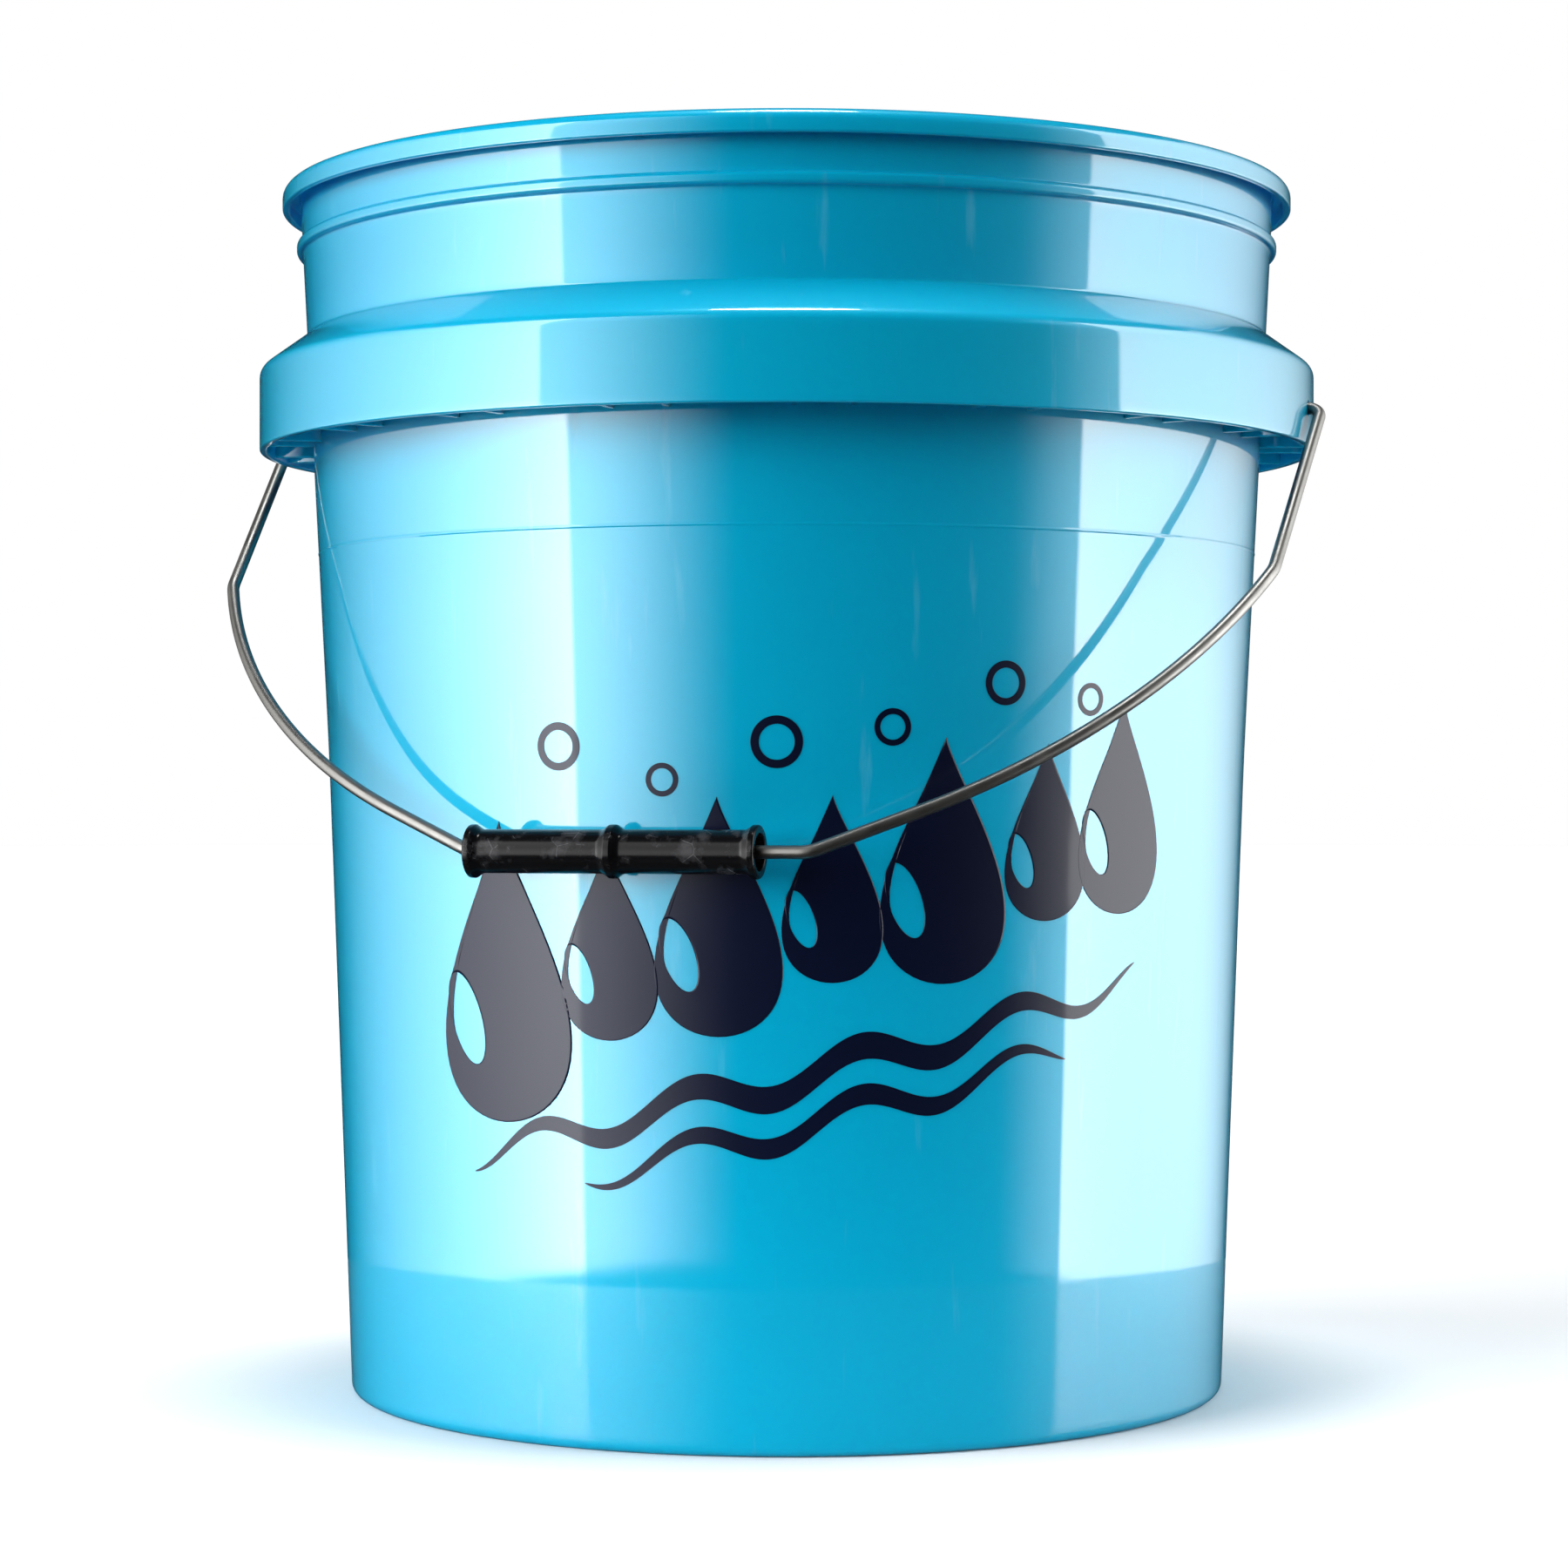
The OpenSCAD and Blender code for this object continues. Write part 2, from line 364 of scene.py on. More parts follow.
def moulded_polyethylene(finish):
    """Injection-moulded, slightly translucent polyethylene with a polished mould's gloss.

    A clear sharp reflection lies over a broad soft one, light scatters in the wall, slow waves from
    uneven shrinkage bend the reflections a little, and faint upright rubs from stacking show pale."""
    material, tree, output = start_material("moulded_polyethylene")
    place = add(tree, "ShaderNodeTexCoord").outputs["Object"]
    slow = bump(tree, noise(tree, place, 45, 1.0), strength=0.10, depth=0.4)
    fine = bump(tree, noise(tree, place, 3.5, 2.0), strength=0.05, depth=0.05, under=slow)
    darker = [part * 0.90 for part in finish.plastic]
    tone = blend(tree, noise(tree, place, 90, 3.0), finish.plastic, darker)
    streaks = drawn_noise(tree, place, (per_mm(6), per_mm(6), per_mm(50)), 4.0)
    rub = remap(tree, streaks, (0.64, 0.80))
    rubbed_pale = (0.45, 0.80, 0.90)
    inputs = {
        "Base Color": blend(tree, maths(tree, "MULTIPLY", rub, 0.12), tone, rubbed_pale),
        "Roughness": remap(tree, rub, (0, 1), (0.38, 0.60)),
        "IOR": 1.5,
        "Specular Tint": (0.05, 0.75, 1.0, 1),
        "Subsurface Weight": 0.35,
        "Subsurface Radius": (0.2, 0.7, 1.0),
        "Subsurface Scale": 6 * MM,
        "Coat Weight": 1.0,
        "Coat Roughness": 0.045,
        "Coat IOR": 1.6,
        "Normal": fine,
        "Coat Normal": slow,
    }
    principled(tree, output, inputs)
    return material


def screen_ink(finish):
    """Two-part screen ink: a thin, glossy, nearly black navy film with a faint squeegee texture."""
    material, tree, output = start_material("screen_ink")
    place = add(tree, "ShaderNodeTexCoord").outputs["Object"]
    inputs = {
        "Base Color": (*finish.ink, 1),
        "Roughness": 0.35,
        "Specular IOR Level": 0.12,
        "Coat Weight": 0.22,
        "Coat Roughness": 0.08,
        "Normal": bump(tree, noise(tree, place, 1.2, 2.0), strength=0.08, depth=0.03),
    }
    principled(tree, output, inputs)
    return material


def zinc_plated_wire(finish):
    """Drawn steel wire with bright zinc plating: fine lines along its length, and duller patches."""
    material, tree, output = start_material("zinc_plated_wire")
    along_wire = add(tree, "ShaderNodeUVMap", uv_map="surface").outputs["UV"]
    lines = drawn_noise(tree, along_wire, (per_mm(0.12), per_mm(30), 1), 3.0)
    place = add(tree, "ShaderNodeTexCoord").outputs["Object"]
    patches = noise(tree, place, 7, 4.0)
    inputs = {
        "Base Color": blend(tree, patches, finish.wire, [part * 0.72 for part in finish.wire]),
        "Metallic": 1.0,
        "Roughness": remap(tree, patches, (0.3, 0.7), (0.34, 0.48)),
        "Normal": bump(tree, lines, strength=0.12, depth=0.01),
    }
    principled(tree, output, inputs)
    return material


def scuffed_polypropylene(finish):
    """Glossy black moulded polypropylene, worn by hands: pale hairline scratches and dull rubs."""
    material, tree, output = start_material("scuffed_polypropylene")
    place = add(tree, "ShaderNodeTexCoord").outputs["Object"]
    rub = remap(tree, noise(tree, place, 9, 6.0, Roughness=0.65), (0.54, 0.66))
    cells = {"Vector": place, "Scale": per_mm(5)}
    scratches = add(tree, "ShaderNodeTexVoronoi", cells, feature="DISTANCE_TO_EDGE").outputs["Distance"]
    hairline = remap(tree, scratches, (0.0, 0.012), (1.0, 0.0))
    scratched = maths(tree, "MULTIPLY", hairline, rub)
    wear = maths(tree, "MULTIPLY_ADD", rub, 0.18, scratched, use_clamp=True)
    worn_grey = (0.16, 0.16, 0.17)
    inputs = {
        "Base Color": blend(tree, wear, finish.grip, worn_grey),
        "Roughness": remap(tree, wear, (0, 1), (0.20, 0.6)),
        "Specular IOR Level": 0.18,
        "Normal": bump(tree, wear, strength=0.3, depth=0.05),
    }
    principled(tree, output, inputs)
    return material


def pale_card(finish, name, roughness):
    """Pale card, which shows soft shadows and, where it is smooth, mirrors the lights at a low angle."""
    material, tree, output = start_material(name)
    principled(tree, output, {"Base Color": (*finish.floor, 1), "Roughness": roughness, "IOR": 1.4})
    return material


# ---------------------------------------------------------------- the pail


RIM_H = 6.5  # height of the rolled rim, in millimetres


def in_mm(value):
    """A length in millimetres."""
    return value / MM


def pail_corners(s):
    """Corners of the pail's section as (radius, height, fillet) in millimetres: from the middle of the
    underside outwards, up the outside, over the rim and down the inside to the middle of the floor."""
    top, wall = in_mm(s.height), in_mm(s.wall)
    base_r, waist_r, waist_z = in_mm(s.base_d) / 2, in_mm(s.waist_d) / 2, in_mm(s.waist_z)
    neck_r, rim_r, mouth_r = in_mm(s.neck_d) / 2, in_mm(s.rim_d) / 2, in_mm(s.mouth_d) / 2
    skirt_r, skirt_z = in_mm(s.skirt_d) / 2, in_mm(s.skirt_z)
    neck_z, slope = top - RIM_H, math.tan(s.shoulder_slope)
    lip, mouth_h, skirt_wall, taper_fillet = 2, 10, 2.2, 1600
    gate_r, gate_h = 3, 1
    upper = lambda z: waist_r + (neck_r - waist_r) * (z - waist_z) / (neck_z - waist_z)
    lower = lambda z: base_r + (waist_r - base_r) * z / waist_z
    shoulder_z = in_mm(s.shoulder_z)
    shoulder_r = upper(shoulder_z)
    crown = lambda r: shoulder_z - (r - shoulder_r) * slope
    under = lambda r: crown(r) - wall / math.cos(s.shoulder_slope)
    skirt_in = skirt_r - skirt_wall
    root_r = upper(shoulder_z - 4)
    line_z, line_half, line_out = in_mm(s.witness_z), 0.5, 0.12
    bead_z, bead_half, bead_face, bead_out = top - 17.7, 1.7, 1.5, 1.75
    recess, foot_w, foot, foot_slant = 3.5, 4.0, 3.0, 1.75
    floor_z = recess + 2.6
    return [
        (0, recess - gate_h, 0),
        (gate_r, recess - gate_h, 0.3),
        (gate_r + 0.2, recess, 0.3),
        (base_r - foot - foot_w - foot_slant, recess, 1.0),
        (base_r - foot - foot_w, 0, 0.6),
        (base_r, 0, foot),
        (waist_r, waist_z, taper_fillet),
        (upper(line_z - line_half), line_z - line_half, 0.2),
        (upper(line_z) + line_out, line_z - line_out, 0.15),
        (upper(line_z) + line_out, line_z + line_out, 0.15),
        (upper(line_z + line_half), line_z + line_half, 0.2),
        (upper(under(root_r)), under(root_r), 2.5),
        (skirt_in, under(skirt_in), 1.6),
        (skirt_in, skirt_z, 0.6),
        (skirt_r, skirt_z, 0.6),
        (skirt_r, crown(skirt_r), 4.0),
        (shoulder_r, shoulder_z, 1.4),
        (upper(bead_z - bead_half), bead_z - bead_half, 0.7),
        (upper(bead_z) + bead_out, bead_z - bead_face, 1.1),
        (upper(bead_z) + bead_out, bead_z + bead_face, 1.1),
        (upper(bead_z + bead_half), bead_z + bead_half, 0.7),
        (upper(neck_z), top - wall, 1.2),
        (rim_r - lip, top - wall, 0.6),
        (rim_r - lip, neck_z, 0.5),
        (rim_r, neck_z, 0.6),
        (rim_r, top, 3.0),
        (mouth_r, top, 1.0),
        (mouth_r, top - mouth_h, 6.0),
        (waist_r - wall, waist_z, taper_fillet),
        (lower(floor_z) - wall, floor_z, 5.0),
        (0, floor_z, 0),
    ]


def wall_radius(sizes, z):
    """Outside radius of the wall at heights z, read from the smooth outline between foot and witness line."""
    outline = supported(rounded(pail_corners(sizes)))
    climb = outline[: np.argmax(outline[:, 1] > sizes.witness_z)]
    climb = climb[climb[:, 1] > 4 * MM]
    return np.interp(z, climb[:, 1], climb[:, 0])


def peg(radius, x0, x1, z, columns=40):
    """Points and faces of a closed peg along X at height z, for cutting a hole."""
    angle = np.arange(columns) * TURN / columns
    round_y, round_z = radius * np.cos(angle), z + radius * np.sin(angle)
    ends = np.stack([np.repeat([[x0], [x1]], columns, 1), [round_y] * 2, [round_z] * 2], -1).reshape(-1, 3)
    column = np.arange(columns)
    middle = np.array([[x0, 0, z], [x1, 0, z]])
    fans = [fan(2 * columns, column, False), fan(2 * columns + 1, columns + column, True)]
    return np.vstack([ends, middle]), grid_faces(2, columns), fans


def gusset_grid(s):
    """One gusset as a rounded bar between wall and skirt, in the plane of the axis.

    Its outline is a four-cornered closed curve in radius and height, and the bar's side faces are
    the same curve moved half its thickness each way, with a smaller copy outside for the round edge."""
    sunk, clear, raised, crown_r, crown_gap = 0.6, 1.2, 0.8, 143.4, 2.2
    half, edge, smaller = 0.8, 0.2, 0.97
    wall_z = [in_mm(s.waist_z), in_mm(s.height) - RIM_H]
    wall_r = [in_mm(s.waist_d) / 2, in_mm(s.neck_d) / 2]
    inside = np.interp(in_mm(s.skirt_z), wall_z, wall_r) - sunk
    outside = in_mm(s.skirt_d) / 2 - clear
    foot = in_mm(s.skirt_z) + raised
    crown = lambda r: in_mm(s.shoulder_z) - (r - crown_r) * math.tan(s.shoulder_slope) - crown_gap
    corners = np.array([[inside, foot], [outside, foot], [outside, crown(outside)], [inside, crown(inside)]])
    middle = corners.mean(0)
    layers = [(-half, smaller), (edge - half, 1.0), (half - edge, 1.0), (half, smaller)]
    rings = [np.column_stack([middle + (corners - middle) * k, np.full(4, y)]) for y, k in layers]
    return np.stack(rings) * MM


class WASH_OT_pail(bpy.types.Operator):
    """Make the moulded pail, with a hole through the skirt at each ear"""

    bl_idname = "wash_bucket.pail"
    bl_label = "Pail"

    def execute(self, context):
        sizes, finish = context.scene.wash_pail, context.scene.wash_finish
        outline = supported(rounded(pail_corners(sizes)))
        pail = make_piece("pail_moulding", *lathe(outline, 240))
        radius = sizes.hole_d / 2
        near, far = sizes.skirt_d / 2 - 6 * MM, sizes.skirt_d / 2 + 4 * MM
        reaches = ((near, far), (-far, -near))
        cutters = [make_piece("cutter", *peg(radius, *reach, PIVOT_Z)) for reach in reaches]
        for cutter in cutters:
            cut = pail.modifiers.new("ear_hole", "BOOLEAN")
            cut.operation = "DIFFERENCE"
            cut.object = cutter
            cut.solver = "EXACT"
        holed = pail.evaluated_get(context.evaluated_depsgraph_get())
        mesh = bpy.data.meshes.new_from_object(holed)
        mesh.set_sharp_from_angle(angle=math.radians(35))
        pail.modifiers.clear()
        pail.data = mesh
        for cutter in cutters:
            bpy.data.objects.remove(cutter)
        finish_piece(pail, moulded_polyethylene(finish), "pail", "pail")
        return {"FINISHED"}


class WASH_OT_gussets(bpy.types.Operator):
    """Make the ribs that stand in pairs between the wall and the skirt"""

    bl_idname = "wash_bucket.gussets"
    bl_label = "Gussets"

    def execute(self, context):
        sizes = context.scene.wash_pail
        bar = gusset_grid(sizes)
        rows, columns = bar.shape[:2]
        flat = bar.reshape(-1, 3)
        pitch = TURN / sizes.gusset_pairs
        centre = (np.arange(sizes.gusset_pairs) + 0.5) * pitch
        turn = (centre[:, None] + np.array([-0.5, 0.5]) * sizes.pair_angle).ravel()[:, None]
        points = np.stack(
            [
                flat[:, 0] * np.cos(turn) - flat[:, 2] * np.sin(turn),
                flat[:, 0] * np.sin(turn) + flat[:, 2] * np.cos(turn),
                np.broadcast_to(flat[:, 1], (len(turn), len(flat))),
            ],
            -1,
        ).reshape(-1, 3)
        one = np.vstack([grid_faces(rows, columns), [[3, 2, 1, 0]], [np.arange(4) + (rows - 1) * columns]])
        quads = (one[None] + (np.arange(len(turn)) * len(flat))[:, None, None]).reshape(-1, 4)
        gussets = make_piece("skirt_gussets", points, quads[:, ::-1])
        material = bpy.data.materials.get("moulded_polyethylene")
        finish_piece(gussets, material, "pail")
        return {"FINISHED"}


# ---------------------------------------------------------------- the print


PRINT_TURN = math.radians(19.5)  # azimuth of the print's middle, from -Y towards +X
PRINT_LEAN = 0.24  # rise of each row for its run to the right
FILM_LOW, FILM_HIGH = -0.05 * MM, 0.10 * MM  # the film's skins, outwards from the wall's face
FILM_LAYERS = 7

# The print's sizes are in millimetres, with arc lengths from its middle to the right
DROPS_Z, WAVES_Z = 151, 103  # height of each row at the print's middle
DROPS = [(-92, 82), (-58, 52), (-27, 64), (4, 50), (35, 66), (66, 48), (93, 58)]  # arc length, height
BUBBLES = [  # arc length, height above the floor, radius
    (-72, 190, 6.5),
    (-42, 181, 4.5),
    (-11, 191, 7.0),
    (20, 195, 5.0),
    (52, 207, 6.0),
    (80, 203, 4.5),
]
WAVES = [(-104, 100, 0, 3.6), (-66, 74, -13, 2.8)]  # start, end, rise, half thickness
WAVE_L, WAVE_H = 46, 4.2  # length and half height of one wave


def film(points_in, points_out, sizes, closed):
    """A thin closed film on the wall between two curves of (arc length, height).

    The flat shape is the straight blend from one curve to the other in several steps. It is bent
    round the pail by turning arc length into an angle at the waist's radius, once just under the
    wall's face and once just over it, and the two skins are joined along their edges."""
    layers = FILM_LAYERS
    share = np.concatenate([[0], np.linspace(0.02, 0.98, layers - 2), [1]])[:, None, None]
    flat = (1 - share) * points_in + share * points_out
    flat = np.concatenate([flat, flat[::-1]])
    offset = np.repeat([FILM_LOW, FILM_HIGH], layers)[:, None]
    radius = wall_radius(sizes, flat[..., 1]) + offset
    angle = flat[..., 0] / (sizes.waist_d / 2) + PRINT_TURN - TURN / 4
    points = np.stack([radius * np.cos(angle), radius * np.sin(angle), flat[..., 1]], -1)
    count = points_in.shape[0]
    quads = grid_faces(2 * layers, count, wrap_rows=True, wrap_columns=closed)
    if not closed:
        row = np.arange(layers - 1)
        cap = np.stack([row, row + 1, 2 * layers - 2 - row, 2 * layers - 1 - row], -1) * count
        ends = [cap, (cap + count - 1)[:, ::-1]]
        quads = np.vstack([quads, *ends])
    return points.reshape(-1, 3), quads


def drop_curve(u, height):
    """A water drop h high with its tip up: x = -0.4 h sin(u) sin(u/2)^1.6 and z = h/2 cos(u)."""
    return np.stack([0.40 * height * np.sin(u) * np.sin(u / 2) ** 1.6 * -1, 0.5 * height * np.cos(u)], -1)


def glint_curve(u, height):
    """The bare patch in a drop h high: a tilted ellipse of 0.07 h by 0.16 h, low on its left."""
    tilt = 0.35
    ellipse = np.stack([-0.07 * height * np.sin(u), 0.16 * height * np.cos(u)], -1)
    turned = ellipse @ np.array([[math.cos(tilt), math.sin(tilt)], [-math.sin(tilt), math.cos(tilt)]])
    return turned + [-0.17 * height, -0.16 * height]


def print_shapes(sizes):
    """The wall print: a rising row of seven drops over two wave lines, with six bubbles above.

    A wave line follows z = lean s + H sin(turn s / L) along the arc length s, and its half thickness
    is the sine of its share of the way, to the power 0.7, so that it thins towards both ends."""
    u = np.linspace(0, TURN, 72, endpoint=False)
    shapes = []
    for s, height in DROPS:
        shapes.append((glint_curve(u, height), drop_curve(u, height), (s, DROPS_Z + PRINT_LEAN * s), True))
    for s, z, r in BUBBLES:
        ring = np.stack([-np.sin(u), np.cos(u)], -1)
        shapes.append((ring * r * 0.68, ring * r, (s, z), True))
    t = np.linspace(0, 1, 150)
    for start, end, rise, thick in WAVES:
        s = start + (end - start) * t
        z = WAVES_Z + rise + PRINT_LEAN * s + WAVE_H * np.sin(TURN * s / WAVE_L)
        half = 0.1 + thick * np.sin(math.pi * t) ** 0.7
        shapes.append((np.stack([s, z + half], -1), np.stack([s, z - half], -1), (0, 0), False))
    for inner, outer, place, closed in shapes:
        yield film((inner + place) * MM, (outer + place) * MM, sizes, closed)


class WASH_OT_print(bpy.types.Operator):
    """Make the wall print as a thin film of ink"""

    bl_idname = "wash_bucket.wall_print"
    bl_label = "Wall print"

    def execute(self, context):
        points, quads, count = [], [], 0
        for shape, faces in print_shapes(context.scene.wash_pail):
            points.append(shape)
            quads.append(faces + count)
            count += len(shape)
        ink = make_piece("wall_print", np.vstack(points), np.vstack(quads))
        finish_piece(ink, screen_ink(context.scene.wash_finish), "pail")
        return {"FINISHED"}


# ---------------------------------------------------------------- the bail


def along(angle):
    """Unit vector at an angle from the first direction, outwards, towards the second, downwards."""
    return np.array([math.cos(angle), math.sin(angle)])


def across(angle):
    """Unit vector a quarter turn further on."""
    return np.array([-math.sin(angle), math.cos(angle)])


def bail_path(s):
    """Half of the wire's centre line, flat, as (distance from the middle, distance below the pivot axis).

    It runs from the middle of the grip's straight out through the bend, the slope, the bow, the elbow and
    the arm to the ear's bend, along the pivot axis and round to the tip of the hook."""
    bow_a = s.arm_lean + s.elbow_turn
    slope_a = bow_a + s.bow_turn
    elbow_l, ear_r = 1 * MM, 4.5 * MM
    hook_r, hook_l, hook_x = 3.2 * MM, 3.6 * MM, 149 * MM
    elbow_start = np.array([s.arm_x, 0]) + s.arm_l * across(s.arm_lean)
    elbow_c = elbow_start - s.elbow_r * along(s.arm_lean)
    elbow_end = elbow_c + s.elbow_r * along(bow_a)
    bow_start = elbow_end + elbow_l * across(bow_a)
    bow_c = bow_start - s.bow_r * along(bow_a)
    bow_end = bow_c + s.bow_r * along(slope_a)
    slope_end = bow_end + s.slope_l * across(slope_a)
    bend_c = slope_end - s.grip_bend_r * along(slope_a)
    reach = bend_c[1] + s.grip_bend_r
    ear_t = ear_r * math.tan((math.pi / 2 + s.arm_lean) / 2)
    ear_c = np.array([s.arm_x - ear_t, ear_r])
    hook_c = np.array([hook_x + hook_r, -hook_r])

    def arc(centre, radius, start, end, count):
        angle = np.linspace(start, end, count)
        return centre + radius * np.stack([np.cos(angle), np.sin(angle)], -1)

    def line(p, q, count):
        return p + np.linspace(0, 1, count)[1:-1, None] * (np.asarray(q) - p)

    quarter = math.pi / 2
    return np.vstack(
        [
            line(np.array([-bend_c[0], reach]), [bend_c[0], reach], 24)[11:],
            arc(bend_c, s.grip_bend_r, quarter, slope_a, 16),
            line(slope_end, bow_end, 10),
            arc(bow_c, s.bow_r, slope_a, bow_a, 60),
            arc(elbow_c, s.elbow_r, bow_a, s.arm_lean, 12),
            line(elbow_start, np.array([s.arm_x, 0]) + ear_t * across(s.arm_lean), 22),
            arc(ear_c, ear_r, s.arm_lean, -quarter, 20),
            line(np.array([ear_c[0], 0.0]), [hook_c[0], 0.0], 6),
            arc(hook_c, hook_r, quarter, 2 * quarter, 14),
            line(np.array([hook_x, -hook_r]), [hook_x, -hook_r - hook_l], 6),
            [[hook_x, -hook_r - hook_l]],
        ]
    )


class WASH_OT_bail(bpy.types.Operator):
    """Make the wire bail as a round section carried along its bent centre line"""

    bl_idname = "wash_bucket.bail"
    bl_label = "Bail"

    def execute(self, context):
        sizes = context.scene.wash_bail
        half = bail_path(sizes)
        half = half[half[:, 0] > 1e-4]
        flat = np.vstack([half[::-1] * [-1, 1], half])
        hang = math.atan2(-GRIP_AXIS.y, PIVOT_Z - GRIP_AXIS.z)
        down = np.array([0, -math.sin(hang), -math.cos(hang)])
        side = np.array([0, -math.cos(hang), math.sin(hang)])
        step = np.gradient(flat, axis=0)
        step /= np.linalg.norm(step, axis=1, keepdims=True)
        normal = np.stack([step[:, 1], -step[:, 0]], -1)
        centre = flat[:, :1] * [1, 0, 0] + flat[:, 1:] * down + [0, 0, PIVOT_Z]
        normal = normal[:, :1] * [1, 0, 0] + normal[:, 1:] * down
        columns = 28
        angle = np.arange(columns) * TURN / columns
        radius = sizes.wire_d / 2
        spoke = normal[:, None] * np.cos(angle)[None, :, None] + side * np.sin(angle)[None, :, None]
        rings = centre[:, None] + radius * spoke
        tangent = step[:, :1] * [1, 0, 0] + step[:, 1:] * down
        tip_share, tip_l = 0.85, 0.25 * MM
        tips = []
        for end, way in ((0, -1), (-1, 1)):
            tips.append(centre[end] + tip_share * radius * spoke[end] + way * tangent[end] * tip_l)
        rings = np.concatenate([tips[0][None], rings, tips[1][None]])
        rows = len(rings)
        poles = np.array([rings[0].mean(0), rings[-1].mean(0)])
        points = np.vstack([rings.reshape(-1, 3), poles])
        column = np.arange(columns)
        last = (rows - 1) * columns
        fans = [fan(rows * columns, column, False), fan(rows * columns + 1, last + column, True)]
        run = np.concatenate([[0], np.cumsum(np.linalg.norm(np.diff(rings.mean(1), axis=0), axis=1))])
        round_wire = np.tile(angle * radius, (rows, 1))
        uv = np.stack([round_wire, np.repeat(run[:, None], columns, 1)], -1).reshape(-1, 2)
        uv = np.vstack([uv, [[0, 0], [0, run[-1]]]])
        bail = make_piece("bail_wire", points, grid_faces(rows, columns), fans, uv)
        finish_piece(bail, zinc_plated_wire(context.scene.wash_finish), "bail", "bail")
        return {"FINISHED"}


# ---------------------------------------------------------------- the grip


def grip_corners(s):
    """Corners of the grip's section as (radius, distance from its left end, fillet) in millimetres."""
    long, bore = in_mm(s.grip_l), in_mm(s.bore_d) / 2
    tube, flange = in_mm(s.tube_d) / 2, in_mm(s.flange_d) / 2
    thick, flare = 1.7, 1.9
    low, high = (long - thick) / 2, (long + thick) / 2
    return [
        (bore, long / 2, 0),
        (bore, 0, 0.45),
        (flange, 0, 0.6),
        (flange, thick, 0.5),
        (tube, thick + flare, 2.2),
        (tube, low - flare, 2.2),
        (flange, low, 0.5),
        (flange, high, 0.5),
        (tube, high + flare, 2.2),
        (tube, long - thick - flare, 2.2),
        (flange, long - thick, 0.5),
        (flange, long, 0.6),
        (bore, long, 0.45),
        (bore, long / 2, 0),
    ]


class WASH_OT_grip(bpy.types.Operator):
    """Make the tube grip with its three flanges and the faint seams of its mould"""

    bl_idname = "wash_bucket.grip"
    bl_label = "Grip"

    def execute(self, context):
        sizes = context.scene.wash_grip
        outline = supported(rounded(grip_corners(sizes)), 0.6 * MM, 3 * MM)[:-1]
        columns = 144
        angle = np.arange(columns) * TURN / columns
        seam_turn, seam_w, seam_h = 0.5, 0.035, 0.07 * MM
        seam = np.exp(-((np.sin(angle - seam_turn) / seam_w) ** 2)) * seam_h
        outer = outline[:, :1] > sizes.bore_d / 2 + 0.3 * MM
        radius = outline[:, :1] + outer * seam
        left = -sizes.slid - sizes.grip_l / 2
        points = np.stack(
            [
                np.broadcast_to(left + outline[:, 1:], radius.shape),
                GRIP_AXIS.y + radius * np.cos(angle),
                GRIP_AXIS.z + radius * np.sin(angle),
            ],
            -1,
        ).reshape(-1, 3)
        quads = grid_faces(len(outline), columns, wrap_rows=True)
        grip = make_piece("grip_tube", points, quads)
        finish_piece(grip, scuffed_polypropylene(context.scene.wash_finish), "grip", "grip")
        return {"FINISHED"}


# ---------------------------------------------------------------- the stage


VIEW = math.radians(16)  # azimuth of the viewer, from -Y towards +X
FLOOR_NEAR, FLOOR_FAR = 0.35, 14.0
CLOTH_R, CLOTH_LOW, CLOTH_HIGH = 1.2, -0.16, 1.3
CLOTH_FADE = (0.20, 0.45)  # heights between which the cloth dims to its top's share
CLOTH_TOP = 0.62
CAMERA_R, CAMERA_Z, CAMERA_LENS, CAMERA_SENSOR = 1.1145, 0.1747, 84.7, 36.0
CAMERA_TILT, CAMERA_TURN = math.radians(90.30), math.radians(0.04)


def stage_disc(name, inner, outer, material, columns=96):
    """A flat ring on the floor between two radii, or a disc where the inner one is nought."""
    angle = np.arange(columns) * TURN / columns
    ring = np.stack([np.cos(angle), np.sin(angle), np.zeros(columns)], -1)
    points = np.vstack([ring * max(inner, 1e-3), ring * outer])
    disc = make_piece(name, points, grid_faces(2, columns)[:, ::-1])
    disc.data.materials.append(material)
    disc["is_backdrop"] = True
    return disc


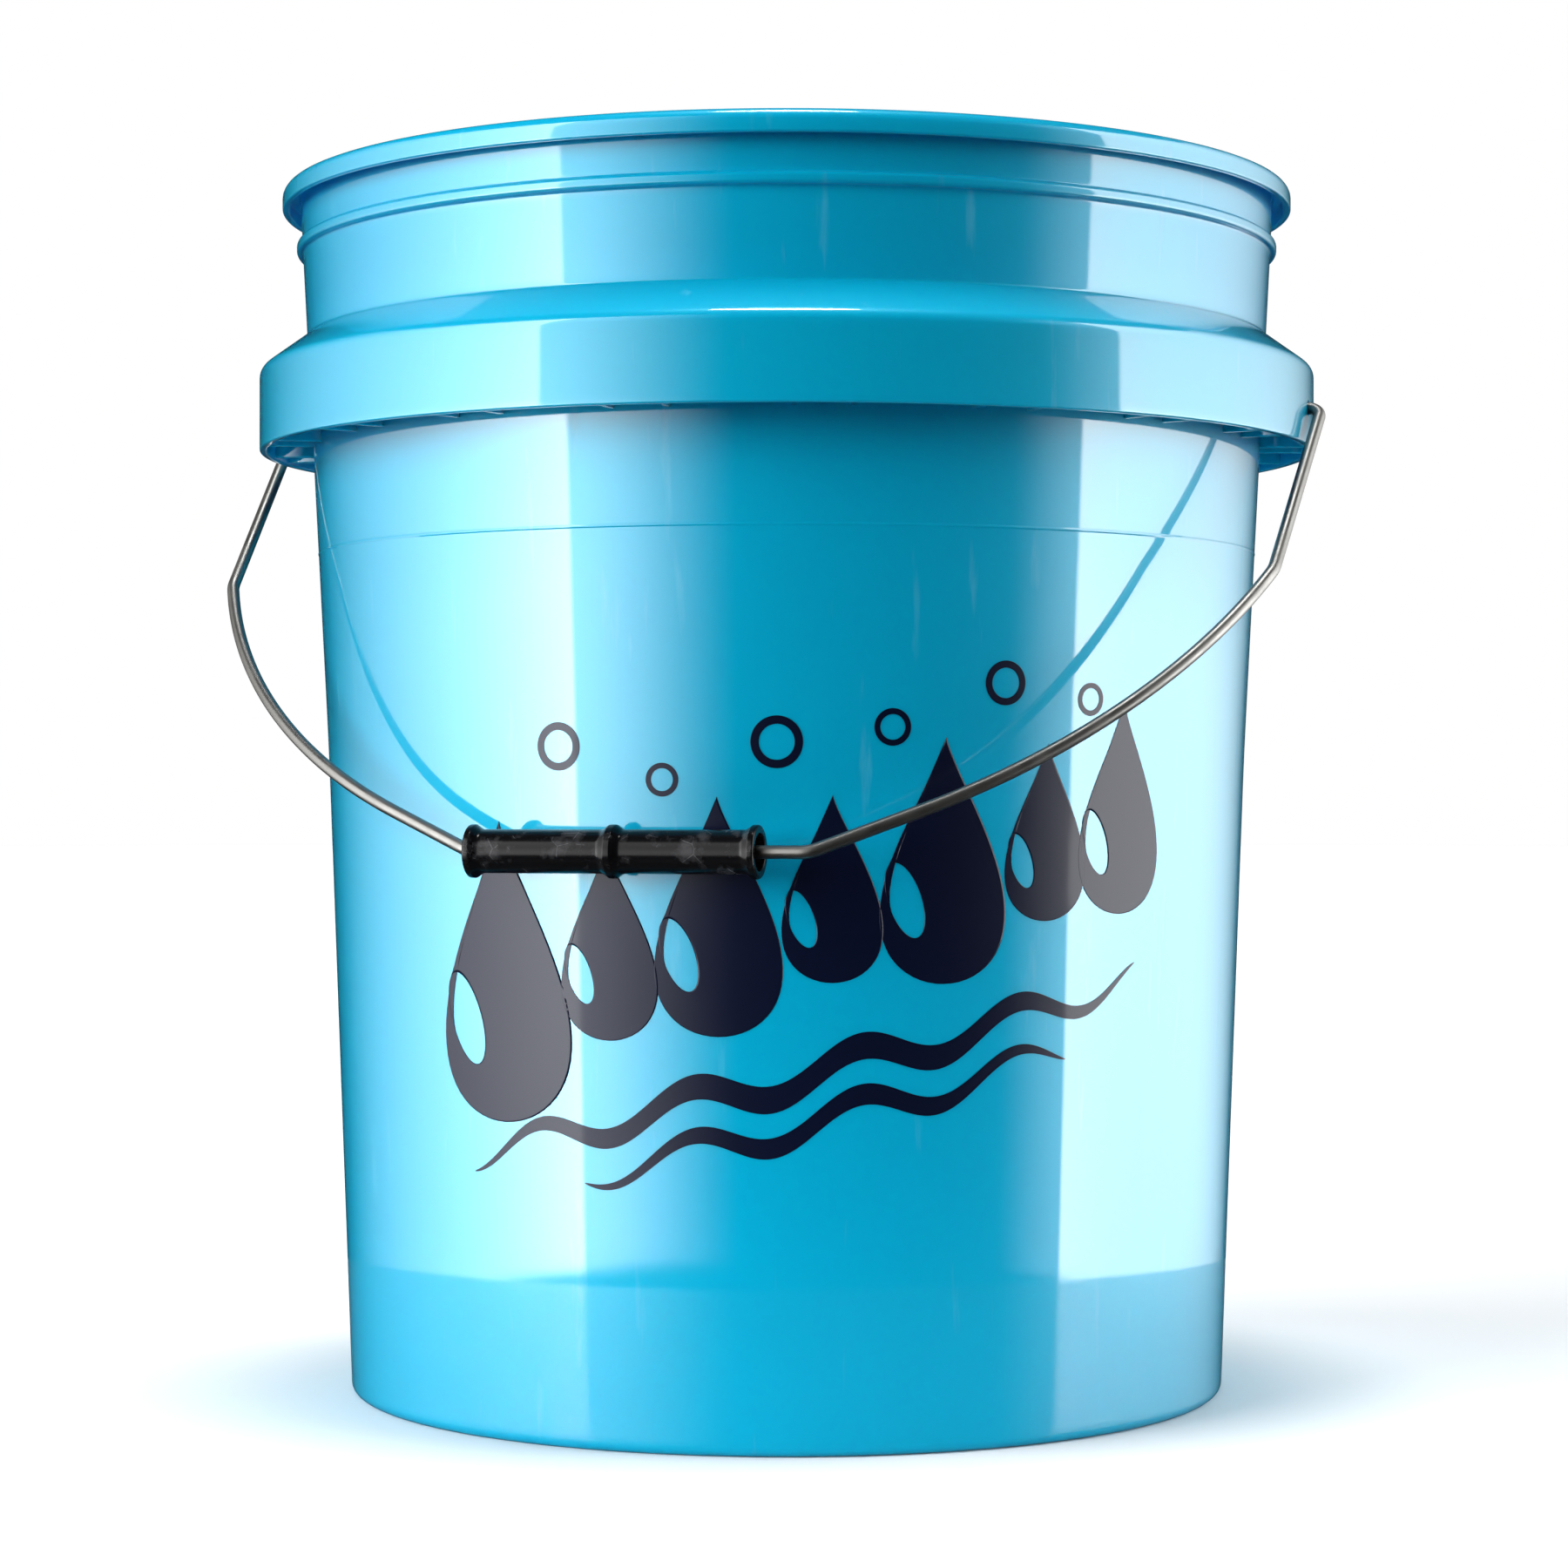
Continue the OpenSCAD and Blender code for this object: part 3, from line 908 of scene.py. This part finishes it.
def light_wall(name, side, near, edge, far, spill, peak, fall):
    """A tall curved wall of glowing cloth round one side of the object, hidden from the camera.

    side is -1 for the viewer's left and 1 for the right. Angles are degrees from the viewer. Between
    near and edge the cloth is only lit by spill, which rises smoothly to its value at the edge. From
    edge to far the radiance is peak * (1 - t) ** fall, where t runs from 0 to 1. The top is dimmer."""
    u = np.linspace(0, 1, 97)
    angle = VIEW + side * np.radians(near + (far - near) * u)
    points = np.stack(
        [
            np.tile(CLOTH_R * np.sin(angle), (2, 1)),
            np.tile(-CLOTH_R * np.cos(angle), (2, 1)),
            np.repeat([[CLOTH_LOW], [CLOTH_HIGH]], len(u), 1),
        ],
        -1,
    ).reshape(-1, 3)
    uv = np.stack([np.tile(u, (2, 1)), np.repeat([[0.0], [1.0]], len(u), 1)], -1).reshape(-1, 2)
    wall = make_piece(name, points, grid_faces(2, len(u), wrap_columns=False), uv=uv)
    material, tree, output = start_material(name + "_cloth")
    surface = add(tree, "ShaderNodeUVMap", uv_map="surface").outputs["UV"]
    place = add(tree, "ShaderNodeSeparateXYZ", {"Vector": surface}).outputs
    bend = (edge - near) / (far - near)
    seam = 0.5 / (far - near)
    dim = remap(tree, place["X"], (0.0, bend), (0.0, spill), interpolation_type="SMOOTHSTEP")
    remaining = remap(tree, place["X"], (bend, 1.0), (1.0, 0.0))
    lit = maths(tree, "MULTIPLY", maths(tree, "POWER", remaining, fall), peak)
    arc = remap(tree, place["X"], (bend - seam, bend + seam), (dim, lit))
    fade = [(height - CLOTH_LOW) / (CLOTH_HIGH - CLOTH_LOW) for height in CLOTH_FADE]
    strength = maths(tree, "MULTIPLY", arc, remap(tree, place["Y"], fade, (1.0, CLOTH_TOP)))
    glow = add(tree, "ShaderNodeEmission", {"Color": (1, 1, 1, 1), "Strength": strength})
    tree.links.new(glow.outputs["Emission"], output.inputs["Surface"])
    wall.data.materials.append(material)
    wall.visible_camera = wall.visible_diffuse = wall.visible_shadow = False
    wall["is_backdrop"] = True


def sun(name, azimuth, elevation, strength, angle, mirrored):
    """A far lamp, its azimuth from -Y towards +X, seen in reflections only where mirrored is true.

    The azimuth, the elevation and the lamp's angle of view are in degrees."""
    light = bpy.data.lights.new(name, "SUN")
    light.energy, light.angle = strength, math.radians(angle)
    lamp = bpy.data.objects.new(name, light)
    azimuth, elevation = math.radians(azimuth), math.radians(elevation)
    flat = math.cos(elevation)
    towards = Vector((math.sin(azimuth) * flat, -math.cos(azimuth) * flat, math.sin(elevation)))
    lamp.rotation_euler = towards.to_track_quat("Z", "Y").to_euler()
    lamp.visible_glossy = mirrored
    bpy.context.scene.collection.objects.link(lamp)


def backdrop(scene, fill_power):
    """A world that is white to the camera, nearly dark in reflections and a weak fill for the rest."""
    world = bpy.data.worlds.new("studio")
    scene.world = world
    world.use_nodes = True
    tree = world.node_tree
    tree.nodes.clear()
    ray = add(tree, "ShaderNodeLightPath").outputs
    white = (1, 1, 1, 1)
    seen = add(tree, "ShaderNodeBackground", {"Color": white, "Strength": 1.0}).outputs[0]
    fill = add(tree, "ShaderNodeBackground", {"Color": white, "Strength": fill_power}).outputs[0]
    dark = add(tree, "ShaderNodeBackground", {"Strength": 0.01}).outputs[0]
    unseen = add(tree, "ShaderNodeMixShader", {"Fac": ray["Is Glossy Ray"], 1: fill, 2: dark}).outputs[0]
    both = add(tree, "ShaderNodeMixShader", {"Fac": ray["Is Camera Ray"], 1: unseen, 2: seen}).outputs[0]
    add(tree, "ShaderNodeOutputWorld", {"Surface": both})


class WASH_OT_stage(bpy.types.Operator):
    """Make the floor, the studio lights and the camera"""

    bl_idname = "wash_bucket.stage"
    bl_label = "Stage"

    def execute(self, context):
        scene, finish = context.scene, context.scene.wash_finish
        card = pale_card(finish, "matt_card", 1.0)
        near = stage_disc("floor_near", 0, FLOOR_NEAR, card)
        far = stage_disc("floor_far", FLOOR_NEAR, FLOOR_FAR, card)
        sheen = stage_disc("floor_sheen", 0, FLOOR_NEAR, pale_card(finish, "satin_card", 0.2))
        near.visible_glossy = far.visible_glossy = far.visible_diffuse = False
        sheen.visible_camera = sheen.visible_diffuse = sheen.visible_shadow = False

        scene.view_settings.view_transform = "Standard"
        light_wall("light_left", -1, near=10, edge=49, far=150, spill=6, peak=15, fall=2.5)
        light_wall("light_right", 1, near=50, edge=69, far=155, spill=2, peak=11, fall=1.4)
        front = math.degrees(VIEW)
        sun("sun_left", front - 62, 18, finish.left_power, 50, mirrored=False)
        sun("sun_right", front + 89, 15, finish.right_power, 60, mirrored=False)
        sun("sun_above", 0, 89, finish.top_power, 17, mirrored=True)
        backdrop(scene, finish.fill_power)

        lens = bpy.data.cameras.new("camera")
        lens.sensor_width, lens.lens = CAMERA_SENSOR, CAMERA_LENS
        lens.clip_start, lens.clip_end = 0.01, 100
        camera = bpy.data.objects.new("camera", lens)
        camera.location = (CAMERA_R * math.sin(VIEW), -CAMERA_R * math.cos(VIEW), CAMERA_Z)
        camera.rotation_euler = (CAMERA_TILT, 0, VIEW + CAMERA_TURN)
        scene.collection.objects.link(camera)
        scene.camera = camera
        return {"FINISHED"}


# ---------------------------------------------------------------- the add-on


MAKERS = (WASH_OT_pail, WASH_OT_gussets, WASH_OT_print, WASH_OT_bail, WASH_OT_grip, WASH_OT_stage)


class WASH_PT_bucket(bpy.types.Panel):
    """Lists the sizes, the colours and the pieces of the wash bucket"""

    bl_label = "Wash bucket"
    bl_idname = "WASH_PT_bucket"
    bl_space_type = "VIEW_3D"
    bl_region_type = "UI"
    bl_category = "Wash bucket"

    def draw(self, context):
        scene = context.scene
        for group in (scene.wash_pail, scene.wash_bail, scene.wash_grip, scene.wash_finish):
            box = self.layout.box()
            for name in group.__annotations__:
                box.prop(group, name)
        for maker in MAKERS:
            self.layout.operator(maker.bl_idname)


GROUPS = {"wash_pail": PailSizes, "wash_bail": BailSizes, "wash_grip": GripSizes, "wash_finish": Finishes}


def register():
    for group in GROUPS.values():
        bpy.utils.register_class(group)
    for maker in MAKERS:
        bpy.utils.register_class(maker)
    bpy.utils.register_class(WASH_PT_bucket)
    for name, group in GROUPS.items():
        setattr(bpy.types.Scene, name, PointerProperty(type=group))


def unregister():
    for name in GROUPS:
        delattr(bpy.types.Scene, name)
    for made in (WASH_PT_bucket, *MAKERS, *GROUPS.values()):
        bpy.utils.unregister_class(made)


def main():
    register()
    bpy.ops.wash_bucket.pail()
    bpy.ops.wash_bucket.gussets()
    bpy.ops.wash_bucket.wall_print()
    bpy.ops.wash_bucket.bail()
    bpy.ops.wash_bucket.grip()
    bpy.ops.wash_bucket.stage()
    boxes = {"cad": CAD_BOX, "visual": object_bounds()}
    {name: [list(low), list(high)] for name, (low, high) in boxes.items()}


if __name__ == "__main__":
    main()
